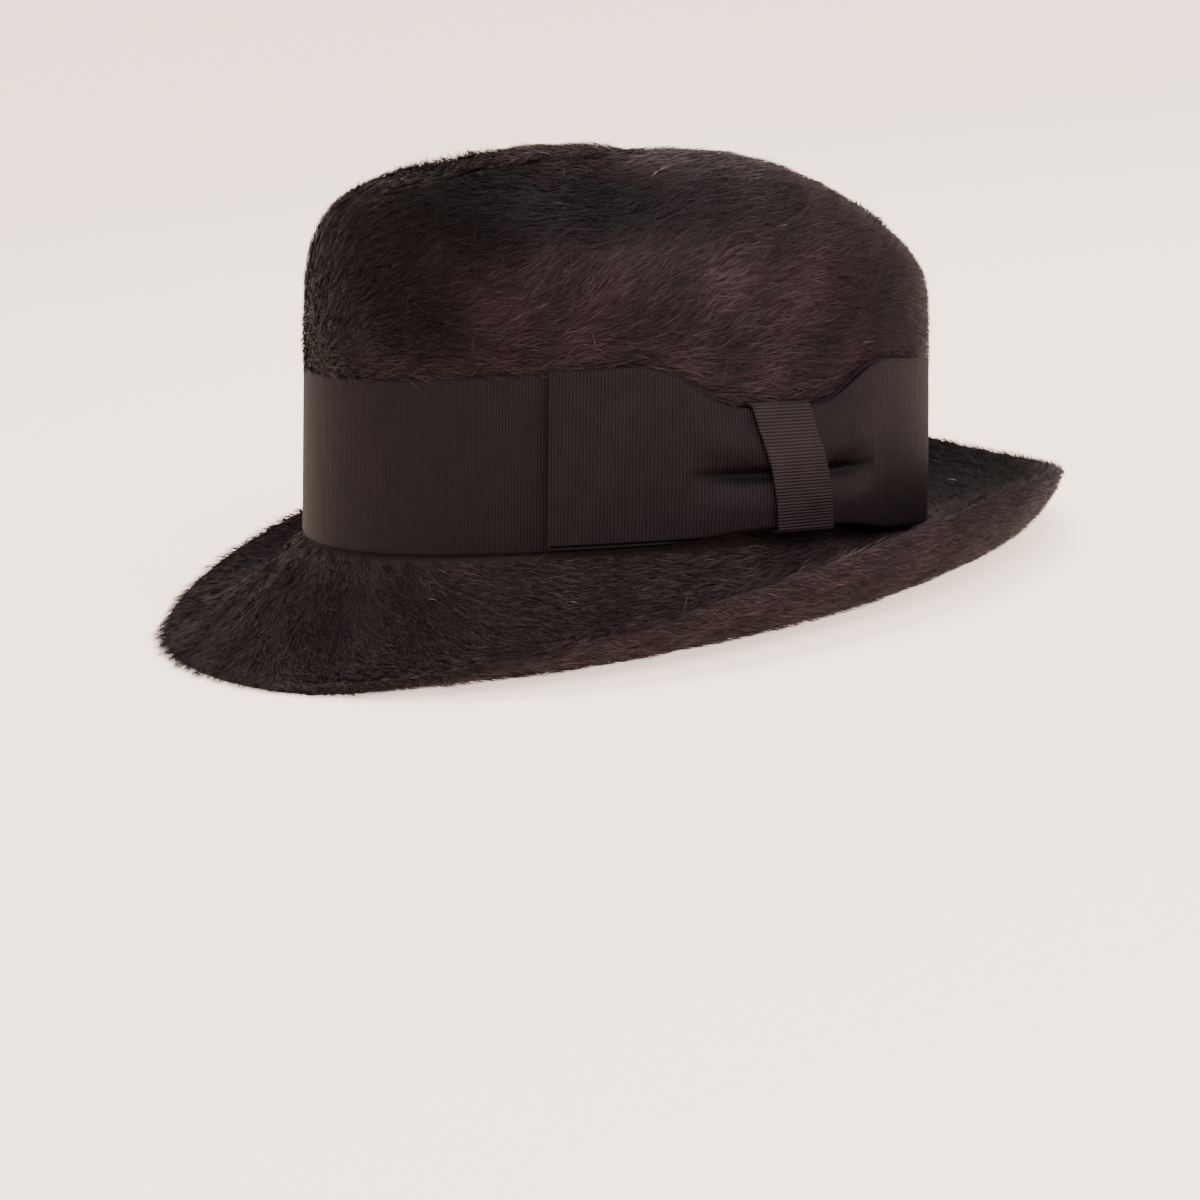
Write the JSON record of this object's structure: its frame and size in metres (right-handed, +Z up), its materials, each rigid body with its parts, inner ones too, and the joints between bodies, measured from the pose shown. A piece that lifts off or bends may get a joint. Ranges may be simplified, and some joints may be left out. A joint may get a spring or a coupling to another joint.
{
  "type": "trilby hat",
  "caption": "Fur felt trilby with a creased, front-pinched crown, a brim turned down in front, a wide ribbon and a flat side bow.",
  "frame": {"origin": "on the surface the hat rests on, below the middle of its box", "axes": "+Z up, -Y towards the front of the hat, +X towards the bow, the wearer's left"},
  "size_m": [0.2726, 0.3, 0.1387],
  "materials": {
    "fur_felt": "long-napped dark brown fur felt",
    "grosgrain": "dark brown ribbed ribbon with a soft sheen"
  },
  "bodies": {
    "root": {"felt_body": "fur_felt", "hat_band": "grosgrain", "bow": "grosgrain", "bow_knot": "grosgrain"}
  },
  "joints": []
}
